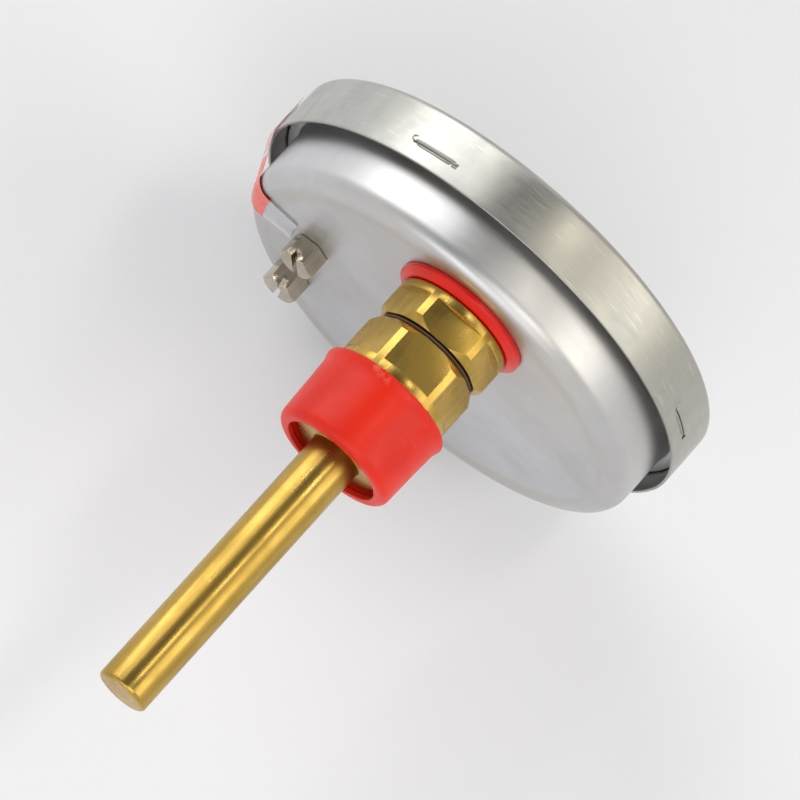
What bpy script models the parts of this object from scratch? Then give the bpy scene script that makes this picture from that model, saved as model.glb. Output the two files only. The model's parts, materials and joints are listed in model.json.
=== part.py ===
"""Dial thermometer with an eccentric back connection, a brass thermowell and a snap-on bezel.

World frame: the origin is on the well's axis, in the plane of the shoulder that seats on the tank.
+Y runs along the well, away from the dial. +Z points to 12 o'clock of the dial, and the case hangs
below the well. Sizes are in metres.
"""

import math

import bmesh
import bpy

MM = 0.001
GAP = 0.3 * MM                      # clearance between pieces that touch
OVERLAP = 0.2 * MM                  # depth to which two shapes run together before they are joined
ASSEMBLY = "dial_thermometer"

# Driving dimensions
BEZEL_RADIUS = 50.0 * MM
BEZEL_HEIGHT = 12.1 * MM
SHEET = 0.6 * MM                    # stainless sheet of the pan and the bezel
PAN_RADIUS = 46.3 * MM
PAN_FILLET = 3.7 * MM
CASE_DEPTH = 23.1 * MM              # back plane of the pan to the front of the bezel
ECCENTRICITY = 27.5 * MM            # well axis to dial centre
CASE_TO_SEAT = 21.5 * MM            # back plane of the pan to the thermowell's shoulder
WELL_LENGTH = 75.4 * MM             # shoulder to tip
WELL_RADIUS = 5.3 * MM
WELL_BORE_RADIUS = 4.2 * MM
THREAD_RADIUS = 10.48 * MM          # G1/2
THREAD_LENGTH = 14.6 * MM
HEX_ROUND_RADIUS = 12.25 * MM
HEX_ACROSS_FLATS = 22.0 * MM
HEX_END_RADIUS = 11.2 * MM          # where each hex is chamfered towards the groove
HEX_CHAMFER = 1.5 * MM
WELL_COLLAR = 1.6 * MM              # full round beside the well's flats
ADAPTER_COLLAR = 1.5 * MM
GROOVE = 1.1 * MM                   # between the two hexes
WELL_HEX_LENGTH = 10.3 * MM
SPIGOT_RADIUS = 7.2 * MM
SPIGOT_LENGTH = 8.9 * MM
SHANK_RADIUS = 6.5 * MM
BULB_START = -7.7 * MM
MODULE = 0.45 * MM                  # gear teeth of the movement
PINION_TEETH = 9
SECTOR_TEETH_IN_CIRCLE = 81
SECTOR_TEETH = 9                    # cut on the sector, out of the full circle
SECTOR_DIRECTION = math.radians(-60.0)
SECTOR_REST_TURN = math.radians(-10.0)   # the sector stands off centre at room temperature
TOOTH_ANGLE = 2 * math.pi / SECTOR_TEETH_IN_CIRCLE
BOURDON_RADIUS = 30.0 * MM
SCREW_PLACES = ((-30.0 * MM, 3.0 * MM), (-29.8 * MM, 21.5 * MM))
CATCH_ANGLES = tuple(math.radians(-28.5 + 90.0 * k) for k in range(4))

# Levels inside the case, measured from the pan's back plane towards the front
FLANGE_LEVEL = 15.8 * MM
FLANGE_RADIUS = 49.0 * MM
DIAL_LEVEL = 14.2 * MM
DIAL_THICKNESS = 0.8 * MM
DIAL_RADIUS = 45.0 * MM
BASE_TOP = 5.1 * MM
LOWER_PLATE = (5.4 * MM, 6.4 * MM)
UPPER_PLATE = (10.4 * MM, 11.4 * MM)
SECTOR_PLATE = (7.6 * MM, 8.6 * MM)
LINK_PLATE = (9.0 * MM, 9.8 * MM)
TUBE_LEVELS = (5.6 * MM, 12.6 * MM)
POINTER_PLATE = (16.3 * MM, 16.8 * MM)
GLASS_LEVELS = (18.3 * MM, 21.3 * MM)

ROUND = 48                          # segments of a large round piece
FINE = 32                           # segments of a small round piece
SMALL = 12                          # segments of a pin or screw

MATERIALS = {
    "stainless": ((0.66, 0.67, 0.66, 1), 0.28, 1.0),
    "brass": ((0.72, 0.53, 0.22, 1), 0.24, 1.0),
    "nickel": ((0.70, 0.66, 0.54, 1), 0.30, 1.0),
    "copper": ((0.75, 0.42, 0.26, 1), 0.35, 1.0),
    "steel": ((0.45, 0.46, 0.48, 1), 0.35, 1.0),
    "red_plastic": ((0.85, 0.06, 0.03, 1), 0.38, 0.0),
    "rubber": ((0.03, 0.03, 0.03, 1), 0.70, 0.0),
    "fibre": ((0.10, 0.06, 0.04, 1), 0.80, 0.0),
    "white_paint": ((0.92, 0.92, 0.90, 1), 0.45, 0.0),
    "black_paint": ((0.03, 0.03, 0.03, 1), 0.45, 0.0),
    "glass": ((0.92, 0.96, 0.96, 0.3), 0.05, 0.0),
    "label": ((0.93, 0.92, 0.92, 1), 0.55, 0.0),
}


# Scene set-up ----------------------------------------------------------------------------------

def clear_scene():
    for thing in list(bpy.data.objects):
        bpy.data.objects.remove(thing, do_unlink=True)


def new_collection(name):
    collection = bpy.data.collections.new(name)
    bpy.context.scene.collection.children.link(collection)
    return collection


def make_material(name):
    colour, roughness, metallic = MATERIALS[name]
    material = bpy.data.materials.new(name)
    material.use_nodes = True
    shader = material.node_tree.nodes["Principled BSDF"]
    shader.inputs["Base Color"].default_value = colour
    shader.inputs["Roughness"].default_value = roughness
    shader.inputs["Metallic"].default_value = metallic
    shader.inputs["Alpha"].default_value = colour[3]
    material.diffuse_color = colour
    return material


def make_empty(name, location, rotation, parent=None):
    empty = bpy.data.objects.new(name, None)
    parts.objects.link(empty)
    empty.parent = parent
    empty.location = location
    empty.rotation_euler = rotation
    return empty


# Solids ----------------------------------------------------------------------------------------

def place(name, mesh, parent, location=(0, 0, 0), turn=0.0, material=None):
    """Links a mesh as a named piece, or as a hidden cutter where no material is given."""
    piece = bpy.data.objects.new(name, mesh)
    (parts if material else cutters).objects.link(piece)
    piece.parent = parent
    piece.location = location
    piece.rotation_euler = (0, 0, turn)
    if material:
        mesh.materials.append(paint[material])
    else:
        piece.hide_render = True
        piece.display_type = "WIRE"
    return piece


def smooth(mesh):
    mesh.shade_smooth()
    mesh.set_sharp_from_angle(angle=math.radians(32))


def turned(name, profile, parent, location=(0, 0, 0), material=None, steps=SMALL, closed=False):
    """A profile of (radius, height) points, outer side top to bottom, turned about the local Z axis."""
    mesh = bpy.data.meshes.new(name)
    links = [(i, i + 1) for i in range(len(profile) - 1)]
    if closed:
        links.append((len(profile) - 1, 0))
    mesh.from_pydata([(r, 0, h) for r, h in profile], links, [])
    piece = place(name, mesh, parent, location, 0.0, material)
    screw = piece.modifiers.new("Screw", "SCREW")
    screw.steps = screw.render_steps = steps
    screw.use_merge_vertices = True
    screw.merge_threshold = 0.00001
    screw.use_smooth_shade = True
    return piece


def rod(name, radius, low, high, parent, at=(0, 0), material=None, steps=SMALL):
    outline = [(0, high), (radius, high), (radius, low), (0, low)]
    return turned(name, outline, parent, (at[0], at[1], 0), material, steps)


def ring(name, inner, outer, low, high, parent, at=(0, 0), material=None, steps=FINE):
    section = [(inner, high), (outer, high), (outer, low), (inner, low)]
    return turned(name, section, parent, (at[0], at[1], 0), material, steps, closed=True)


def prism(name, outline, low, high, parent, material=None, location=(0, 0, 0), turn=0.0):
    """A flat outline in the local XY plane, raised from one level to another."""
    mesh = bpy.data.meshes.new(name)
    shape = bmesh.new()
    corners = [shape.verts.new((x, y, low)) for x, y in outline]
    face = shape.faces.new(corners)
    raised = bmesh.ops.extrude_face_region(shape, geom=[face])["geom"]
    tops = [v for v in raised if isinstance(v, bmesh.types.BMVert)]
    bmesh.ops.translate(shape, vec=(0, 0, high - low), verts=tops)
    bmesh.ops.recalc_face_normals(shape, faces=shape.faces[:])
    shape.to_mesh(mesh)
    shape.free()
    return place(name, mesh, parent, location, turn, material)


def box(name, size, centre, parent, turn=0.0, material=None):
    mesh = bpy.data.meshes.new(name)
    shape = bmesh.new()
    bmesh.ops.create_cube(shape, size=1.0)
    bmesh.ops.scale(shape, vec=size, verts=shape.verts[:])
    shape.to_mesh(mesh)
    shape.free()
    return place(name, mesh, parent, centre, turn, material)


def swept(name, section, start, sweep, steps, parent, material=None):
    """A section of (radius, level) points swept about the local Z axis by less than a full turn."""
    mesh = bpy.data.meshes.new(name)
    shape = bmesh.new()
    c, s = math.cos(start), math.sin(start)
    corners = [shape.verts.new((r * c, r * s, z)) for r, z in section]
    face = shape.faces.new(corners)
    bmesh.ops.spin(shape, geom=[face] + face.edges[:] + corners, cent=(0, 0, 0), axis=(0, 0, 1),
                   angle=sweep, steps=steps, use_duplicate=False)
    bmesh.ops.recalc_face_normals(shape, faces=shape.faces[:])
    shape.to_mesh(mesh)
    shape.free()
    return place(name, mesh, parent, (0, 0, 0), 0.0, material)


def wire(name, points, radius, parent, material):
    curve = bpy.data.curves.new(name, "CURVE")
    curve.dimensions = "3D"
    curve.bevel_depth = radius
    curve.bevel_resolution = 2
    curve.use_fill_caps = True
    line = curve.splines.new("POLY")
    line.points.add(len(points) - 1)
    for point, (x, y, z) in zip(line.points, points):
        point.co = (x, y, z, 1)
    piece = bpy.data.objects.new(name, curve)
    parts.objects.link(piece)
    piece.parent = parent
    curve.materials.append(paint[material])
    return piece


def combine(piece, tool, operation):
    step = piece.modifiers.new(operation.title(), "BOOLEAN")
    step.operation = operation
    step.object = tool
    step.solver = "EXACT"


def bore(piece, radius, low, high, parent, at=(0, 0), steps=SMALL):
    hole = rod(f"{piece.name}_hole_{len(piece.modifiers)}", radius, low, high, parent, at, None, steps)
    combine(piece, hole, "DIFFERENCE")


# Outlines --------------------------------------------------------------------------------------

def arc(centre, radius, start, end, count):
    """Points on an arc, angles in degrees, both ends included."""
    angles = [math.radians(start + (end - start) * k / count) for k in range(count + 1)]
    return [(centre[0] + radius * math.cos(a), centre[1] + radius * math.sin(a)) for a in angles]


def polygon(sides, across_flats, phase=0.0):
    radius = across_flats / 2 / math.cos(math.pi / sides)
    angles = [phase + 2 * math.pi * k / sides for k in range(sides)]
    return [(radius * math.cos(a), radius * math.sin(a)) for a in angles]


def capsule(start, end, radius, count=8):
    """A bar with round ends between two points."""
    heading = math.degrees(math.atan2(end[1] - start[1], end[0] - start[0]))
    return (arc(end, radius, heading - 90, heading + 90, count)
            + arc(start, radius, heading + 90, heading + 270, count))


def involute_flank(teeth, base, outer, inner, slack, count=4):
    """Half a tooth, from root to tip, as (radius, angle from the tooth's centre line)."""
    pitch = teeth * MODULE / 2
    rolled = math.sqrt((pitch / base) ** 2 - 1)
    half = math.pi / teeth / 2 - slack / 2 / pitch + rolled - math.atan(rolled)
    flank = [(inner, half)] if inner < base else []
    for k in range(count + 1):
        radius = max(inner, base) + (outer - max(inner, base)) * k / count
        unwound = math.sqrt((radius / base) ** 2 - 1)
        flank.append((radius, half - unwound + math.atan(unwound)))
    return flank


def tooth_run(teeth_in_circle, count, centre_angle, addendum, dedendum, slack):
    """Points along a run of teeth, by rising angle."""
    pitch = teeth_in_circle * MODULE / 2
    base = pitch * math.cos(math.radians(20))
    flank = involute_flank(teeth_in_circle, base, pitch + addendum, pitch - dedendum, slack)
    points = []
    for k in range(count):
        middle = centre_angle + 2 * math.pi / teeth_in_circle * (k - (count - 1) / 2)
        points += [(r * math.cos(middle - a), r * math.sin(middle - a)) for r, a in flank]
        points += [(r * math.cos(middle + a), r * math.sin(middle + a)) for r, a in reversed(flank)]
    return points


# Stem and well ---------------------------------------------------------------------------------

def hex_tool(name, flats, collar):
    """Six flats over one stretch, joined to a full round that leaves the collar over the next."""
    tool = prism(name, polygon(6, HEX_ACROSS_FLATS), *flats, stem)
    full_round = rod(name + "_collar", HEX_ROUND_RADIUS + MM, *collar, stem, steps=FINE)
    combine(tool, full_round, "UNION")
    return tool


def make_thermowell():
    top = -WELL_HEX_LENGTH
    socket_floor = -2.2 * MM
    chamfer_end = top + HEX_CHAMFER
    tip_chamfer, thread_chamfer, end_wall = 0.8 * MM, 1.0 * MM, 2.0 * MM
    profile = [
        (0, WELL_LENGTH),
        (WELL_RADIUS - tip_chamfer, WELL_LENGTH),
        (WELL_RADIUS, WELL_LENGTH - tip_chamfer),
        (WELL_RADIUS, THREAD_LENGTH),
        (THREAD_RADIUS - thread_chamfer, THREAD_LENGTH),
        (THREAD_RADIUS, THREAD_LENGTH - thread_chamfer),
        (THREAD_RADIUS, 0),
        (HEX_ROUND_RADIUS, 0),
        (HEX_ROUND_RADIUS, chamfer_end),
        (HEX_END_RADIUS, top),
        (SPIGOT_RADIUS + GAP, top),
        (SPIGOT_RADIUS + GAP, socket_floor),
        (WELL_BORE_RADIUS, socket_floor),
        (WELL_BORE_RADIUS, WELL_LENGTH - end_wall),
        (0, WELL_LENGTH - end_wall),
    ]
    well = turned("thermowell", profile, stem, material="brass", steps=36)
    flats = hex_tool("well_flats", (top - MM, -WELL_COLLAR), (-WELL_COLLAR - OVERLAP, WELL_LENGTH + MM))
    combine(well, flats, "INTERSECT")


def make_thread_cap():
    near, far = GAP, 16.4 * MM
    end_radius, corner = 12.9 * MM, 1.6 * MM
    hole, socket, lip = 10.3 * MM, THREAD_RADIUS + GAP, 1.2 * MM
    profile = [(hole, far)]
    profile += arc((end_radius - corner, far - corner), corner, 90, 0, 3)
    profile += [(13.2 * MM, 8.0 * MM), (13.5 * MM, 2.5 * MM), (13.95 * MM, near + 0.7 * MM),
                (13.8 * MM, near), (socket, near), (socket, far - lip), (hole, far - lip)]
    turned("thread_cap", profile, stem, material="red_plastic", steps=36, closed=True)


def make_stem_adapter():
    low = -(CASE_TO_SEAT - 2.3 * MM)
    high = -(WELL_HEX_LENGTH + GROOVE)
    inner_end = -(CASE_TO_SEAT + BASE_TOP)
    spigot_end = high + SPIGOT_LENGTH
    capillary_bore, bulb_bore = 1.6 * MM, 4.1 * MM
    profile = [
        (bulb_bore, spigot_end),
        (SPIGOT_RADIUS, spigot_end),
        (SPIGOT_RADIUS, high),
        (HEX_END_RADIUS, high),
        (HEX_ROUND_RADIUS, high - HEX_CHAMFER),
        (HEX_ROUND_RADIUS, low),
        (SHANK_RADIUS, low),
        (SHANK_RADIUS, inner_end),
        (capillary_bore, inner_end),
        (capillary_bore, BULB_START - GAP),
        (bulb_bore, BULB_START - GAP),
    ]
    adapter = turned("stem_adapter", profile, stem, material="brass", steps=36, closed=True)
    collar_end = low + ADAPTER_COLLAR
    flats = hex_tool("adapter_flats", (collar_end, spigot_end + MM), (inner_end - MM, collar_end + OVERLAP))
    combine(adapter, flats, "INTERSECT")


def make_stem_seals_and_bulb():
    ring("joint_washer", SPIGOT_RADIUS + GAP, 10.9 * MM, -11.1 * MM, -10.6 * MM, stem, material="fibre")
    wide, narrow = -CASE_TO_SEAT + GAP, -CASE_TO_SEAT + 2.0 * MM
    section = [
        (SHANK_RADIUS + GAP, narrow),
        (12.6 * MM, narrow),
        (12.9 * MM, wide + 1.1 * MM),
        (14.2 * MM, wide + 0.5 * MM),
        (14.3 * MM, wide),
        (SHANK_RADIUS + GAP, wide),
    ]
    turned("case_gasket", section, stem, material="red_plastic", steps=32, closed=True)
    bulb_radius, end = 3.8 * MM, WELL_LENGTH - 2.5 * MM
    bulb = [(0, end), (2.8 * MM, end), (bulb_radius, end - 1.0 * MM), (bulb_radius, BULB_START),
            (0, BULB_START)]
    turned("bulb", bulb, stem, material="copper", steps=16)


# Case ------------------------------------------------------------------------------------------

def make_case_pan():
    inner, bend = PAN_RADIUS - SHEET, 0.9 * MM
    top = FLANGE_LEVEL + SHEET
    profile = [(0, SHEET)]
    profile += arc((PAN_RADIUS - PAN_FILLET, PAN_FILLET), PAN_FILLET - SHEET, -90, 0, 4)
    profile += [(inner, top - bend), (inner + 0.3 * MM, top)]
    profile += [(FLANGE_RADIUS, top), (FLANGE_RADIUS, FLANGE_LEVEL), (PAN_RADIUS + 0.3 * MM, FLANGE_LEVEL),
                (PAN_RADIUS, FLANGE_LEVEL - 0.3 * MM)]
    profile += arc((PAN_RADIUS - PAN_FILLET, PAN_FILLET), PAN_FILLET, 0, -90, 4)
    profile += [(0, 0)]
    pan = turned("case_pan", profile, case, material="stainless", steps=ROUND)
    bore(pan, SHANK_RADIUS + GAP, -MM, 2 * MM, case, (0, -ECCENTRICITY), FINE)
    for place_of_screw in SCREW_PLACES:
        bore(pan, 1.9 * MM, -MM, 2 * MM, case, place_of_screw)


def make_bezel():
    rear, front = CASE_DEPTH - BEZEL_HEIGHT, CASE_DEPTH
    corner, lip = 1.4 * MM, 44.6 * MM
    inner = BEZEL_RADIUS - SHEET
    centre = (BEZEL_RADIUS - corner, front - corner)
    profile = [(lip, front)] + arc(centre, corner, 90, 0, 2)
    profile += [(BEZEL_RADIUS, rear), (inner, rear)]
    profile += arc(centre, corner - SHEET, 0, 90, 2) + [(lip, front - SHEET)]
    bezel = turned("bezel_ring", profile, case, material="stainless", steps=ROUND, closed=True)
    for k, angle in enumerate(CATCH_ANGLES):
        radius = inner - 0.4 * MM
        centre = (radius * math.cos(angle), radius * math.sin(angle), FLANGE_LEVEL - 0.6 * MM)
        catch = box(f"bezel_catch_{k + 1}", (1.2 * MM, 8.0 * MM, 0.6 * MM), centre, case, angle)
        combine(bezel, catch, "UNION")
        centre = (BEZEL_RADIUS * math.cos(angle), BEZEL_RADIUS * math.sin(angle), FLANGE_LEVEL - 1.3 * MM)
        slit = box(f"bezel_slit_{k + 1}", (3.0 * MM, 10.4 * MM, 0.7 * MM), centre, case, angle)
        combine(bezel, slit, "DIFFERENCE")


def make_front():
    glass_radius = 48.9 * MM
    low, high = GLASS_LEVELS
    rod("glass", glass_radius, low, high, case, material="glass", steps=ROUND)
    ring("glass_gasket", 45.4 * MM, glass_radius, FLANGE_LEVEL + SHEET + GAP, low - GAP, case,
         material="rubber", steps=ROUND)
    ring("bezel_seal", 45.6 * MM, 48.4 * MM, high + GAP, CASE_DEPTH - SHEET - GAP, case,
         material="rubber", steps=ROUND)


def make_adapter_nut():
    nut = prism("adapter_nut", polygon(6, 19.0 * MM, math.radians(30)), SHEET + GAP, 4.9 * MM, case, "brass",
                (0, -ECCENTRICITY, 0))
    bore(nut, SHANK_RADIUS + GAP, 0, 6 * MM, case, (0, -ECCENTRICITY), FINE)


def make_case_screws():
    """Hexagon heads with a screwdriver slot stand outside; the shanks reach into the anchor block."""
    across, head_low, head_high, shank_end = 7.0 * MM, -4.9 * MM, -GAP, 4.2 * MM
    for k, (x, y) in enumerate(SCREW_PLACES):
        turn = math.radians(30 + 22 * k)
        screw = prism(f"case_screw_{k + 1}", polygon(6, across), head_low, head_high, case, "nickel",
                      (x, y, 0), turn)
        shank = rod(f"case_screw_{k + 1}_shank", 1.5 * MM, head_high - MM, shank_end, case, (x, y))
        combine(screw, shank, "UNION")
        slot = box(f"case_screw_{k + 1}_slot", (12 * MM, 1.2 * MM, 3.2 * MM), (x, y, head_low), case,
                   math.radians(80 - 35 * k))
        combine(screw, slot, "DIFFERENCE")


def make_seal_label():
    """A thin strip from the bezel's side over its open edge and down to the pan's back."""
    thick, on_band, on_back = 0.25 * MM, 19.5 * MM, 34.6 * MM
    outer, edge = BEZEL_RADIUS + GAP, CASE_DEPTH - BEZEL_HEIGHT - GAP
    fillet = (PAN_RADIUS - PAN_FILLET, PAN_FILLET)
    near = PAN_FILLET + GAP
    line = [(outer, on_band), (outer, edge)]
    line += arc(fillet, near, -10, -90, 5) + [(on_back, -GAP)]
    far_side = [(outer + thick, on_band), (outer + thick, edge - thick)]
    far_side += arc(fillet, near + thick, -10, -90, 5) + [(on_back, -GAP - thick)]
    swept("seal_label", line + far_side[::-1], math.radians(170.0), math.radians(14), 4, case, "label")


# Measuring system ------------------------------------------------------------------------------

PITCH_PINION = PINION_TEETH * MODULE / 2
PITCH_SECTOR = SECTOR_TEETH_IN_CIRCLE * MODULE / 2
CENTRES = PITCH_PINION + PITCH_SECTOR
PIVOT = (CENTRES * math.cos(SECTOR_DIRECTION), CENTRES * math.sin(SECTOR_DIRECTION))
TAIL_LENGTH = 6.0 * MM
TAIL = (PIVOT[0] + TAIL_LENGTH * math.cos(SECTOR_DIRECTION),
        PIVOT[1] + TAIL_LENGTH * math.sin(SECTOR_DIRECTION))
TIP_ANGLE = math.radians(-45.0)
TIP = (BOURDON_RADIUS * math.cos(TIP_ANGLE), BOURDON_RADIUS * math.sin(TIP_ANGLE))
PILLARS = ((-6.0 * MM, 7.0 * MM), (18.0 * MM, -8.0 * MM), (-8.0 * MM, -20.0 * MM))
DIAL_POSTS = ((-9.5 * MM, 0.0), (9.0 * MM, 3.0 * MM))
PLATE_SCREWS = ((-26.8 * MM, -1.0 * MM), (-32.2 * MM, -1.2 * MM))
ARBOR_RADIUS = 0.8 * MM
ARBOR_START = LOWER_PLATE[0] + 0.2 * MM
PIN_HOLE = ARBOR_RADIUS + GAP
TAIL_PIN_RADIUS = 0.6 * MM
TIP_PIN_RADIUS = 0.6 * MM
MOVEMENT_SHANK = 0.7 * MM           # radius of the screws in the pillars and posts
PLATE_SHANK = 0.9 * MM              # radius of the screws in the anchor block


def make_anchor_block():
    block = box("anchor_block", (9.0 * MM, 30.0 * MM, BASE_TOP - SHEET - GAP),
                (-29.8 * MM, 11.0 * MM, (BASE_TOP + SHEET + GAP) / 2), case, material="brass")
    low, high = TUBE_LEVELS
    section = [(27.0 * MM, low - 2 * MM), (33.0 * MM, low - 2 * MM), (33.0 * MM, high), (27.0 * MM, high)]
    riser = swept("anchor_riser", section, math.radians(156), math.radians(9), 2, case)
    combine(block, riser, "UNION")
    for place_of_screw in SCREW_PLACES:
        bore(block, 1.5 * MM + GAP, 0, 4.5 * MM, case, place_of_screw)
    for place_of_screw in PLATE_SCREWS:
        bore(block, PLATE_SHANK + GAP, 2.5 * MM, 7 * MM, case, place_of_screw)


def make_bourdon():
    low, high = TUBE_LEVELS
    half, middle = 1.2 * MM, (low + high) / 2
    section = arc((BOURDON_RADIUS, high - half), half, 0, 180, 4)
    section += arc((BOURDON_RADIUS, low + half), half, 180, 360, 4)
    start, end = math.radians(155.5), math.radians(-30)
    swept("bourdon_tube", section, start, end - start, 24, case, "copper")
    block = [(28.0 * MM, low), (32.0 * MM, low), (32.0 * MM, 8.4 * MM), (28.0 * MM, 8.4 * MM)]
    tip = swept("bourdon_tip", block, math.radians(-30.7), math.radians(-18), 3, case, "brass")
    bore(tip, TIP_PIN_RADIUS + GAP, middle - 2.2 * MM, high, case, TIP)
    rod("tip_pin", TIP_PIN_RADIUS, middle - 1.8 * MM, LINK_PLATE[0] - GAP, case, TIP, "steel")


def make_capillary():
    """A thin tube up through the adapter, over the nut and across to the anchor block."""
    route = ((0, -27.5, -13), (0, -27.5, 3.5), (-0.5, -27.6, 5.6), (-2.5, -28.0, 7.0), (-6, -28.6, 7.4),
             (-12, -29.0, 7.0), (-18, -27.3, 6.0), (-23, -22.8, 4.8), (-26.6, -16.8, 3.7),
             (-28.6, -10.8, 3.1), (-29, -4.4, 3.0))
    dense = []
    for i in range(len(route) - 1):
        before, here = route[max(i - 1, 0)], route[i]
        there, after = route[i + 1], route[min(i + 2, len(route) - 1)]
        for step in range(2):
            t = step / 2
            dense.append(tuple(MM * 0.5 * (2 * b + (c - a) * t + (2 * a - 5 * b + 4 * c - d) * t * t
                                           + (3 * b - a - 3 * c + d) * t ** 3)
                               for a, b, c, d in zip(before, here, there, after)))
    dense.append(tuple(MM * value for value in route[-1]))
    wire("capillary", dense, 0.8 * MM, case, "copper")


def make_plates():
    low, high = LOWER_PLATE
    lug, post_lug, pivot_lug = 3.2 * MM, 3.0 * MM, 3.4 * MM
    outline = [(-33.0 * MM, 5.2 * MM), (-33.0 * MM, -4.5 * MM), (-22.0 * MM, -4.5 * MM)]
    outline += arc(PILLARS[2], lug, 180, 290, 6) + arc(PIVOT, pivot_lug, 260, 340, 6)
    outline += arc(PILLARS[1], lug, 300, 430, 6) + arc(PILLARS[0], lug, 60, 150, 6)
    outline += [(-22.0 * MM, 5.2 * MM)]
    lower = prism("movement_lower_plate", outline, low, high, case, "brass")
    upper_outline = arc(PILLARS[2], lug, 160, 290, 6) + arc(PIVOT, pivot_lug, 260, 340, 6)
    upper_outline += arc(PILLARS[1], lug, 300, 430, 6) + arc(DIAL_POSTS[1], post_lug, 0, 90, 4)
    upper_outline += arc(PILLARS[0], lug, 60, 150, 6) + arc(DIAL_POSTS[0], post_lug, 120, 200, 4)
    upper = prism("movement_upper_plate", upper_outline, *UPPER_PLATE, case, "brass")
    for plate, (base, top) in ((lower, LOWER_PLATE), (upper, UPPER_PLATE)):
        for centre in ((0.0, 0.0), PIVOT):
            bore(plate, PIN_HOLE, base - MM, top + MM, case, centre)
    for centre in PLATE_SCREWS:
        bore(lower, PLATE_SHANK + GAP, low - MM, high + MM, case, centre)
    for centre in PILLARS:
        bore(upper, MOVEMENT_SHANK + GAP, UPPER_PLATE[0] - MM, UPPER_PLATE[1] + MM, case, centre)


def slotted_screw(name, at, head_radius, head_low, head_high, shank_radius, shank_end):
    profile = [(0, head_high), (head_radius, head_high), (head_radius, head_low), (shank_radius, head_low),
               (shank_radius, shank_end), (0, shank_end)]
    screw = turned(name, profile, case, (at[0], at[1], 0), "steel")
    slot = box(name + "_slot", (3 * head_radius, 0.4 * MM, 0.7 * MM), (at[0], at[1], head_high), case, 0.6)
    combine(screw, slot, "DIFFERENCE")


def make_plate_fasteners():
    plate_top = LOWER_PLATE[1]
    for k, centre in enumerate(PLATE_SCREWS):
        slotted_screw(f"plate_screw_{k + 1}", centre, 1.6 * MM, plate_top + GAP, plate_top + 1.5 * MM,
                      PLATE_SHANK, 2.9 * MM)
    for k, centre in enumerate(PILLARS):
        low, high = LOWER_PLATE[1] + GAP, UPPER_PLATE[0] - GAP
        pillar = rod(f"pillar_{k + 1}", 1.75 * MM, low, high, case, centre, "brass")
        bore(pillar, MOVEMENT_SHANK + GAP, high - 2.0 * MM, high + MM, case, centre)
        slotted_screw(f"movement_screw_{k + 1}", centre, 1.5 * MM, UPPER_PLATE[1] + GAP,
                      UPPER_PLATE[1] + 1.2 * MM, MOVEMENT_SHANK, high - 1.6 * MM)


def make_sector():
    low, high = SECTOR_PLATE
    facing = SECTOR_DIRECTION + math.pi + SECTOR_REST_TURN
    middle = facing + TOOTH_ANGLE / 2
    addendum, dedendum, slack = 0.22 * MM, 0.65 * MM, 0.10 * MM
    half = (SECTOR_TEETH + 0.6) / 2 * TOOTH_ANGLE
    root, waist, hub, eye = PITCH_SECTOR - dedendum, 15.5 * MM, 2.6 * MM, 1.7 * MM
    tail = (TAIL[0] - PIVOT[0], TAIL[1] - PIVOT[1])
    tail_heading, face_heading = math.degrees(SECTOR_DIRECTION), math.degrees(facing)

    def cheek(side, radii):
        angle = middle + side * half
        return [(radius * math.cos(angle), radius * math.sin(angle)) for radius in radii]

    outline = tooth_run(SECTOR_TEETH_IN_CIRCLE, SECTOR_TEETH, middle, addendum, dedendum, slack)
    outline += cheek(1, (root, waist))
    outline += arc((0, 0), hub, face_heading + 60, face_heading + 110, 3)
    outline += arc(tail, eye, tail_heading - 90, tail_heading + 90, 6)
    outline += arc((0, 0), hub, face_heading - 110, face_heading - 60, 3)
    outline += cheek(-1, (waist, root))
    sector = prism("sector_gear", outline, low, high, sector_axis, "brass")
    bore(sector, PIN_HOLE, low - MM, high + MM, sector_axis)
    bore(sector, TAIL_PIN_RADIUS + GAP, low - MM, high + MM, sector_axis, tail)
    rod("sector_arbor", ARBOR_RADIUS, ARBOR_START, UPPER_PLATE[1] - 0.2 * MM, sector_axis, material="steel")
    head = LINK_PLATE[1] + GAP
    profile = [(0, head + 0.5 * MM), (1.2 * MM, head + 0.5 * MM), (1.2 * MM, head), (TAIL_PIN_RADIUS, head),
               (TAIL_PIN_RADIUS, low - GAP), (0, low - GAP)]
    turned("tail_pin", profile, sector_axis, (tail[0], tail[1], 0), "steel")


def make_link():
    reach = (TIP[0] - TAIL[0], TIP[1] - TAIL[1])
    low, high = LINK_PLATE
    link = prism("link", capsule((0, 0), reach, 1.6 * MM), low, high, link_axis, "brass")
    bore(link, TAIL_PIN_RADIUS + GAP, low - MM, high + MM, link_axis)
    bore(link, TIP_PIN_RADIUS + GAP, low - MM, high + MM, link_axis, reach)


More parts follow.
